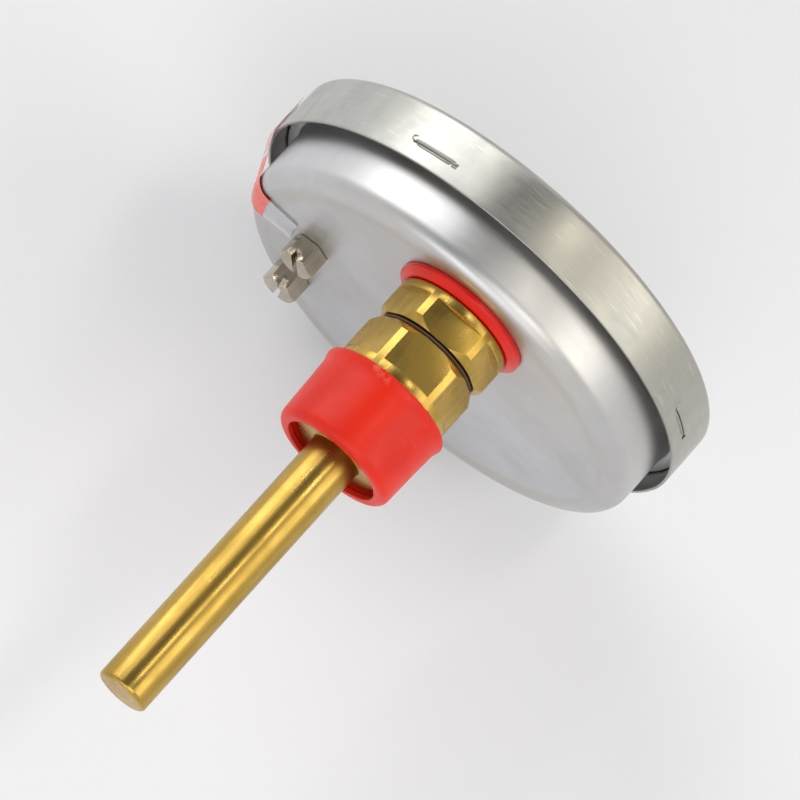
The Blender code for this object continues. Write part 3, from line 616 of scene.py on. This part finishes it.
def make_window():
    """The glass pane and the two seals that hold it."""
    low, high = levels("glass")
    r = radius("glass")
    profile = rounded([(0, low, 0), (r, low, 0.3 * MM), (r, high, 0.3 * MM), (0, high, 0)])
    show(lathe(profile, 128), "front_glass", CASE, "head", "glass", ["glass"])
    for node, inner in (("glass_gasket", 45.4 * MM), ("bezel_seal", 45.6 * MM)):
        low, high = levels(node)
        outer, soft = radius(node), 0.2 * MM
        profile = rounded([
            (inner, low, soft), (outer, low, soft), (outer, high, soft), (inner, high, soft)])
        show(lathe(profile, 128, closed=True), node + "_ring", CASE, "head", "black_rubber", [node])


SCALE_START, SCALE_SWEEP, SCALE_TOP = math.radians(-45.0), math.radians(270.0), 120
SCALE_RIM, NUMBER_RING = 42.5 * MM, 31.0 * MM
INK, INK_LIFT = 0.03 * MM, 0.01 * MM


def scale_angle(value):
    return SCALE_START + SCALE_SWEEP * value / SCALE_TOP


def tick_size(value):
    """Length and width of the scale's mark at a temperature."""
    if value % 20 == 0:
        return 6.0 * MM, 0.9 * MM
    if value % 10 == 0:
        return 4.2 * MM, 0.6 * MM
    return 2.6 * MM, 0.32 * MM


def scale_arc(level):
    """The thin line that joins the outer ends of the marks."""
    steps, middle, half_width = 180, SCALE_RIM + 0.5 * MM, 0.15 * MM
    sides = ((-half_width, range(steps + 1)), (half_width, range(steps, -1, -1)))
    line = [(middle + side, -(SCALE_START + SCALE_SWEEP * k / steps))
            for side, order in sides for k in order]
    outline = [(d * math.cos(a), d * math.sin(a)) for d, a in line]
    return prism(outline, level - INK / 2, level + INK / 2)


def printed_word(text, distance, angle, size, level):
    """Thin letters on the dial, upright when 12 o'clock is up."""
    curve = bpy.data.curves.new("word", "FONT")
    curve.body, curve.size = text, size
    curve.align_x, curve.align_y = "CENTER", "CENTER"
    curve.extrude, curve.offset = INK / 2, 0.12 * MM
    thing = bpy.data.objects.new("word", curve)
    bpy.context.scene.collection.objects.link(thing)
    bpy.context.view_layer.update()
    data = bpy.data.meshes.new_from_object(thing.evaluated_get(bpy.context.evaluated_depsgraph_get()))
    place = Matrix.Translation((distance * math.cos(angle), -distance * math.sin(angle), level))
    data.transform(place @ Matrix.Rotation(math.pi, 4, "Z"))
    letters = bmesh.new()
    letters.from_mesh(data)
    bmesh.ops.remove_doubles(letters, verts=letters.verts[:], dist=0.001 * MM)
    bpy.data.objects.remove(thing)
    bpy.data.curves.remove(curve)
    bpy.data.meshes.remove(data)
    return letters


def make_dial():
    low, high = levels("dial_plate")
    r, edge = radius("dial_plate"), 0.15 * MM
    hole, screw_hole = 2.2 * MM, 1.0 * MM
    profile = rounded([(hole, low, edge), (r, low, edge), (r, high, edge), (hole, high, edge)], 3)
    screws = [(CASE.inverted() @ centre(f"dial_screw_{k}")).xy for k in (1, 2)]
    tools = [("DIFFERENCE", disc(screw_hole, low - MM, high + MM, place, 24)) for place in screws]
    plate = carve(lathe(profile, 128, closed=True), tools)
    show(plate, "dial_face", CASE, "head", "white_dial", ["dial_plate"])
    level = high + INK_LIFT
    marks = []
    for value in range(0, SCALE_TOP + 1, 2):
        length, width = tick_size(value)
        angle, middle = -scale_angle(value), SCALE_RIM - length / 2
        at = (middle * math.cos(angle), middle * math.sin(angle), level)
        marks.append(block((length, width, INK), at, angle))
    marks.append(scale_arc(level))
    show(merge(*marks), "dial_scale", CASE, "head", "black_paint")
    words = [(str(value), NUMBER_RING, scale_angle(value), 6.4 * MM)
             for value in range(0, SCALE_TOP + 1, 20)]
    words.append(("°C", 20.0 * MM, math.radians(-90.0), 7.0 * MM))
    letters = [printed_word(*word, level) for word in words]
    show(merge(*letters), "dial_numbers", CASE, "head", "black_paint")


def make_pointer():
    low, high = levels("pointer")
    tip, tail, boss, hole = 38.0 * MM, 13.0 * MM, 3.6 * MM, 2.0 * MM
    half_tip, half_tail = 0.25 * MM, 1.8 * MM

    def arc(first, last):
        """A side of the round boss, between two angles in degrees."""
        angles = [math.radians(first + (last - first) * k / 20) for k in range(21)]
        return [(boss * math.cos(a), boss * math.sin(a)) for a in angles]

    outline = [(tip, -half_tip), (tip, half_tip)] + arc(15, 165)
    outline += [(-tail, half_tail), (-tail, -half_tail)] + arc(195, 345)
    middle_hole = disc(hole, low - MM, high + MM)
    needle = carve(prism(outline, low, high), [("DIFFERENCE", middle_hole)], 0.08 * MM, 2)
    show(needle, "pointer_needle", CASE, "pointer", "black_paint", ["pointer"])
    base, top = levels("pointer_hub")
    wide, neck, bore = radius("pointer_hub"), 1.7 * MM, 1.1 * MM
    collar, bore_end = high + 0.3 * MM, 17.2 * MM
    profile = rounded([(0, top, 0), (wide, top, 0.5 * MM), (wide, collar, 0.1 * MM), (neck, collar, 0),
                       (neck, base, 0.1 * MM), (bore, base, 0.1 * MM), (bore, bore_end, 0),
                       (0, bore_end, 0)])
    show(lathe(profile, 64), "pointer_boss", CASE, "pointer", "black_paint", ["pointer_hub"])


def make_case_screws():
    """Slotted hexagon heads, chamfered at the outer end, with their shanks through the pan."""
    across, chamfer_inner, chamfer_outer, chamfer = 7.0 * MM, 3.45 * MM, 4.1 * MM, 0.45 * MM
    off_pan, shank_start, shank_radius = 0.05 * MM, 1.3 * MM, 1.5 * MM
    slot_size = (12 * MM, 1.2 * MM, 3.2 * MM)
    for k, place in enumerate(screw_places()):
        node = f"case_screw_{k + 1}"
        outer, inner = levels(node)
        at = (place.x, place.y)
        head = prism(hexagon(across, math.radians(43 + 4 * k), at), outer, -off_pan)
        cone = lathe(rounded([
            (0, outer, 0), (chamfer_inner, outer, 0), (chamfer_outer, outer + chamfer, 0),
            (chamfer_outer, 0, 0), (0, 0, 0)]), 64)
        bmesh.ops.translate(cone, vec=(*at, 0), verts=cone.verts[:])
        slot = block(slot_size, (*at, outer), math.radians(72 + 15 * k))
        shank = disc(shank_radius, -shank_start, inner, at, 32)
        head = carve(head, [("INTERSECT", cone), ("UNION", shank), ("DIFFERENCE", slot)], 0.14 * MM)
        show(head, f"post_screw_{k + 1}", CASE, "head", "nickel_plate", [node])


LABEL_START, LABEL_SWEEP, LABEL_COLUMNS = math.radians(170.2), math.radians(13.6), 28


def label_line():
    """The film's section: down the band's side, over the gap, round the pan's edge and onto its back."""
    rear = levels("bezel_ring")[0]
    clear, on_band_end, on_back_end = 0.34 * MM, 19.4 * MM, 34.7 * MM
    outer = radius("bezel_ring") + clear
    fillet = PAN_FILLET + clear
    middle = (PAN_WALL - PAN_FILLET, PAN_FILLET)
    line = [(outer, on_band_end), (outer, 16.0 * MM), (outer, 13.0 * MM)]
    line.append((outer - 0.05 * MM, rear - 0.2 * MM))
    line += [(middle[0] + fillet * math.cos(a), middle[1] + fillet * math.sin(a))
             for a in (math.radians(-10 - 10 * k) for k in range(9))]
    return refined(line + [(on_back_end, -clear)], 0.8 * MM)


def label_rows(mesh, line, lift):
    """One side of the film as rows of vertices, each pushed off the line by the lift and a ripple."""
    ripple_height, along_section, round_case = 0.06 * MM, 260, 14
    rows = []
    for i, (r, h) in enumerate(line):
        ahead, behind = line[min(i + 1, len(line) - 1)], line[max(i - 1, 0)]
        across = Vector((ahead[1] - behind[1], behind[0] - ahead[0])).normalized()
        row = []
        for k in range(LABEL_COLUMNS + 1):
            angle = LABEL_START + LABEL_SWEEP * k / LABEL_COLUMNS
            spot = Vector((r * along_section, angle * round_case, h * along_section))
            ripple = ripple_height * noise.noise(spot)
            rr, hh = r - across.x * (lift + ripple), h - across.y * (lift + ripple)
            row.append(mesh.verts.new((rr * math.cos(angle), rr * math.sin(angle), hh)))
        rows.append(row)
    return rows


def make_seal_label():
    """Thin film stuck to the band's side, pulled over the gap and pressed onto the pan."""
    line, thick = label_line(), 0.10 * MM
    mesh = bmesh.new()
    sheets = []
    for lift in (0.0, thick):
        rows = label_rows(mesh, line, lift)
        sheets.append(rows)
        for a, b in zip(rows, rows[1:]):
            for k in range(LABEL_COLUMNS):
                mesh.faces.new((a[k], a[k + 1], b[k + 1], b[k]))
    top, bottom = sheets
    for k in range(LABEL_COLUMNS):
        for row in (0, -1):
            mesh.faces.new((top[row][k], top[row][k + 1], bottom[row][k + 1], bottom[row][k]))
    for i in range(len(line) - 1):
        for column in (0, -1):
            mesh.faces.new((top[i][column], top[i + 1][column], bottom[i + 1][column], bottom[i][column]))
    show(mesh, "seal_strip", CASE, "head", "seal_paper", ["seal_label"], sharp=60)


# Stem and well ----------------------------------------------------------------------------------

HEX_FLATS, HEX_ROUND = 22.0 * MM, 12.25 * MM            # across flats, and the radius of the round
HEX_END, CHAMFER = 11.2 * MM, 1.5 * MM                  # a hexagon's end face and how far its cone runs
SPIGOT, SHANK, BORE = 7.2 * MM, 6.5 * MM, 4.2 * MM      # radii of the adapter's ends and the well's bore
THREAD, THREAD_END, PITCH = 10.48 * MM, 14.6 * MM, 1.814 * MM
RUN_OUT = 1.2 * MM                                      # where the thread fades, and its end cone
GROOVE = 1.1 * MM                                       # between the two hexagons
PLAY = 0.3 * MM                                         # between pieces that slide into each other


def hex_tool(flats, collar):
    """Six flats over one stretch and a full round over the next."""
    round_part = disc(HEX_ROUND + MM, *collar)
    return [("INTERSECT", carve(prism(hexagon(HEX_FLATS), *flats), [("UNION", round_part)]))]


def threaded(low, high, crest, pitch):
    """A right-hand helical thread: a cylinder's (radius, height) rows and the surface that cuts them."""
    depth, rows_per_turn, steepness, root = 0.64 * pitch, 10, 1.25, 0.125
    rows = math.ceil((high - low) / (pitch / rows_per_turn))

    def surface(r, angle, h):
        phase = (h / pitch - angle / TAU) % 1.0
        wave = min(1.0, max(0.0, abs(2 * phase - 1) * steepness - root))
        fade = min(1.0, (h - low) / RUN_OUT, (high - h) / RUN_OUT)
        return crest - depth * (1 - wave) * max(fade, 0.0), h

    return [(crest, low + (high - low) * k / rows) for k in range(rows + 1)], surface


def make_well():
    low, tip = along("thermowell")
    rod, socket, end_wall = 5.3 * MM, -2.2 * MM, 2 * MM
    thread, surface = threaded(0.4 * MM, THREAD_END - RUN_OUT, THREAD, PITCH)
    profile = rounded([
        (0, tip, 0), (rod, tip, 0.75 * MM), (rod, THREAD_END, 0.3 * MM), (THREAD - RUN_OUT, THREAD_END, 0),
        (THREAD, THREAD_END - RUN_OUT, 0)], 6)[:-1]
    profile = refined(profile, 4.0 * MM) + thread[::-1]
    profile += rounded([(THREAD, 0, 0), (HEX_ROUND, 0, 0), (HEX_ROUND, low + CHAMFER, 0), (HEX_END, low, 0),
                        (SPIGOT + PLAY, low, 0), (SPIGOT + PLAY, socket, 0), (BORE, socket, 0),
                        (BORE, tip - end_wall, 0), (0, tip - end_wall, 0)])

    def cut(r, angle, h):
        """Cuts the thread into the rows that lie on its crest."""
        return surface(r, angle, h) if abs(r - THREAD) < 1e-6 and h > 0 else (r, h)

    turned = lathe(profile, 120, warp=cut)
    flats = hex_tool((low - MM, -1.6 * MM), (-1.8 * MM, tip + MM))
    body = carve(turned, flats, 0.10 * MM, 2)
    show(body, "well_body", STEM, "well", "turned_brass", ["thermowell"], sharp=34)


def make_adapter():
    inner_end, spigot_end = along("stem_adapter")
    low, high = along("case_gasket")[1] + PLAY, along("thermowell")[0] - GROOVE
    bulb, capillary, bulb_start = 4.1 * MM, 1.6 * MM, -8.0 * MM
    profile = [(bulb, spigot_end), (SPIGOT, spigot_end), (SPIGOT, high), (HEX_END, high),
               (HEX_ROUND, high - CHAMFER), (HEX_ROUND, low), (SHANK, low), (SHANK, inner_end),
               (capillary, inner_end), (capillary, bulb_start), (bulb, bulb_start)]
    flats = hex_tool((low + 1.5 * MM, spigot_end + MM), (inner_end - MM, low + 1.7 * MM))
    body = carve(lathe(profile, 120, closed=True), flats, 0.10 * MM, 2)
    show(body, "adapter_body", STEM, "head", "turned_brass", ["stem_adapter"], sharp=34)


def make_seals():
    low, high = BACK, along("case_gasket")[1]
    wide, narrow, bore = radius("case_gasket"), 12.7 * MM, SHANK + PLAY

    def squeezed(r, angle, h):
        """The flange bulges unevenly where the hexagon presses it."""
        if r < 0.9 * wide:
            return r, h
        wave = noise.noise(Vector((1.6 * math.cos(angle), 1.6 * math.sin(angle), 3.0)))
        return r - 0.16 * MM * (1 + wave), h

    profile = rounded([(bore, high, 0), (narrow, high, 0.2 * MM), (wide, low + 0.9 * MM, 0.4 * MM),
                       (wide, low, 0.2 * MM), (bore, low, 0)], 6)
    show(lathe(profile, 144, closed=True, warp=squeezed), "flange_gasket", STEM, "head", "red_gasket",
         ["case_gasket"], sharp=50)
    low, high = along("joint_washer")
    inner, outer, edge = SPIGOT + PLAY, radius("joint_washer"), 0.12 * MM
    profile = rounded([(inner, high, edge), (outer, high, edge), (outer, low, edge), (inner, low, edge)], 3)
    show(lathe(profile, 96, closed=True), "fibre_washer", STEM, "washer", "fibre", ["joint_washer"])


def make_cap():
    low, high = along("thread_cap")
    lip = radius("thread_cap")
    end, hole, socket, wall = 12.9 * MM, 10.3 * MM, THREAD + PLAY, 1.2 * MM
    upper, lower = (13.2 * MM, 8.0 * MM, 0), (13.45 * MM, 2.6 * MM, 0)
    lip_inside, lip_height = 12 * MM, 1.2 * MM

    def soft(r, angle, h):
        """A soft moulding is never quite round, least of all at its lip."""
        wave = noise.noise(Vector((1.3 * math.cos(angle), 1.3 * math.sin(angle), h * 60.0)))
        ragged = noise.noise(Vector((14 * math.cos(angle), 14 * math.sin(angle), 5.0)))
        near_lip = max(0.0, 1 - (h - low) / lip_height) if r > lip_inside else 0.0
        return r - 0.09 * MM * (1 + wave), h + 0.10 * MM * near_lip * (1 + ragged)

    profile = rounded([
        (hole, high, 0.25 * MM), (end, high, 1.7 * MM), upper, lower,
        (lip, low + 0.5 * MM, 0.3 * MM), (lip - 0.25 * MM, low, 0.1 * MM), (socket, low, 0.2 * MM),
        (socket, high - wall, 0.3 * MM), (hole, high - wall, 0.2 * MM)], 7)
    profile = refined(profile + profile[:1], 1.2 * MM)[:-1]
    show(lathe(profile, 160, closed=True, warp=soft), "red_cap", STEM, "cap", "red_plastic", ["thread_cap"],
         sharp=50)


# CAD nodes that stay in view ---------------------------------------------------------------------

def dress_kept_nodes():
    """Every node that no piece stands for keeps its CAD shape and gets its slot's finish."""
    slots = {part["node"]: part["material_slot"] for part in frame["record"]["subparts"]}
    for name, node in frame["nodes"].items():
        if not node.hide_render:
            node.data.materials.clear()
            node.data.materials.append(FINISHES[slots[name]])


# Camera, floor and light -------------------------------------------------------------------------

def make_camera():
    """Looks down on the back of the case, 17.5 degrees off the dial's plane and rolled by 132 degrees."""
    roll, tilt = math.radians(132.1), math.radians(17.45)
    distance, aside, above = 1153.4 * MM, 12.95 * MM, -17.25 * MM
    right = Vector((-math.sin(roll), math.cos(tilt) * math.cos(roll), -math.sin(tilt) * math.cos(roll)))
    down = Vector((math.cos(roll), math.cos(tilt) * math.sin(roll), -math.sin(tilt) * math.sin(roll)))
    forward = Vector((0, -math.sin(tilt), -math.cos(tilt)))
    open_edge = CASE @ Vector((0, 0, levels("bezel_ring")[0]))
    data = bpy.data.cameras.new("camera")
    data.sensor_width, data.lens = 36.0, 272.3
    data.clip_start, data.clip_end = 0.05, 20.0
    camera = bpy.data.objects.new("camera", data)
    bpy.context.scene.collection.objects.link(camera)
    turn = Matrix((right, -down, -forward)).transposed().to_4x4()
    place = open_edge - aside * right - above * down - distance * forward
    camera.matrix_world = Matrix.Translation(place) @ turn
    bpy.context.scene.camera = camera


def make_floor():
    f = Finish("pale_floor", roughness=0.6)
    cloud = f.noise(3.0, 3.0)
    f.colour(f.blend(f.span(cloud, 0.3, 0.7), (0.82, 0.825, 0.84), (0.79, 0.79, 0.805)))
    f.bump(f.noise(60.0, 3.0), 0.2 * MM, 0.3)
    half_width, gap = 6.0, 0.1 * MM
    mesh = bmesh.new()
    bmesh.ops.create_grid(mesh, x_segments=8, y_segments=8, size=half_width)
    data = bpy.data.meshes.new("floor")
    mesh.to_mesh(data)
    mesh.free()
    data.materials.append(f.material)
    floor = bpy.data.objects.new("floor", data)
    bpy.context.scene.collection.objects.link(floor)
    floor.location.z = CAD_BOX[0].z - gap


AIM = Vector((0, 0, -0.02))


def area_light(name, direction, distance, width, length, power, colour=(1, 1, 1), long_axis=(0, 1, 0)):
    """A soft box that faces the case from a direction. Power is in watts."""
    data = bpy.data.lights.new(name, "AREA")
    data.shape, data.size, data.size_y = "RECTANGLE", width, length
    data.energy, data.color = power, colour
    light = bpy.data.objects.new(name, data)
    bpy.context.scene.collection.objects.link(light)
    away = Vector(direction).normalized()
    side = Vector(long_axis).cross(away).normalized()
    turn = Matrix((side, away.cross(side), away)).transposed().to_4x4()
    light.matrix_world = Matrix.Translation(AIM + away * distance) @ turn


def make_light():
    """A studio with bright sides and a darker ceiling, a narrow strip and five soft boxes."""
    world = bpy.data.worlds.new("studio")
    bpy.context.scene.world = world
    world.use_nodes = True
    nodes, links = world.node_tree.nodes, world.node_tree.links
    split = nodes.new("ShaderNodeSeparateXYZ")
    ramp = nodes.new("ShaderNodeValToRGB")
    links.new(nodes.new("ShaderNodeTexCoord").outputs["Generated"], split.inputs[0])
    links.new(split.outputs[2], ramp.inputs[0])
    stops = ((0.0, 0.86), (0.35, 0.80), (0.62, 0.56), (0.84, 0.24), (1.0, 0.07))
    while len(ramp.color_ramp.elements) < len(stops):
        ramp.color_ramp.elements.new(0.5)
    for element, (place, grey) in zip(ramp.color_ramp.elements, stops):
        element.position = place
        element.color = (grey, grey, 1.01 * grey, 1)
    links.new(ramp.outputs[0], nodes["Background"].inputs["Color"])
    nodes["Background"].inputs["Strength"].default_value = 1.02
    area_light("strip", (0.55, -0.30, 0.78), 1.3, 0.035, 1.0, 1.3)
    area_light("warm_box", (-0.72, -0.30, 0.62), 1.3, 0.75, 1.0, 4.5, (1.0, 0.97, 0.91))
    area_light("band_box", (-0.20, -0.32, 0.92), 1.3, 0.12, 0.5, 1.6, (1.0, 0.96, 0.88))
    area_light("key", (-0.30, 0.42, 0.86), 1.5, 0.8, 0.8, 5.5)
    area_light("side_box", (0.82, -0.42, 0.45), 1.5, 1.0, 1.0, 7.0, long_axis=(0, 0, 1))
    area_light("rear_box", (0.0, 0.90, 0.45), 1.4, 1.2, 0.5, 3.2, long_axis=(0, 0, 1))


make_pan()
make_bezel()
make_window()
make_dial()
make_pointer()
make_case_screws()
make_seal_label()
make_well()
make_adapter()
make_seals()
make_cap()
dress_kept_nodes()
make_camera()
make_floor()
make_light()
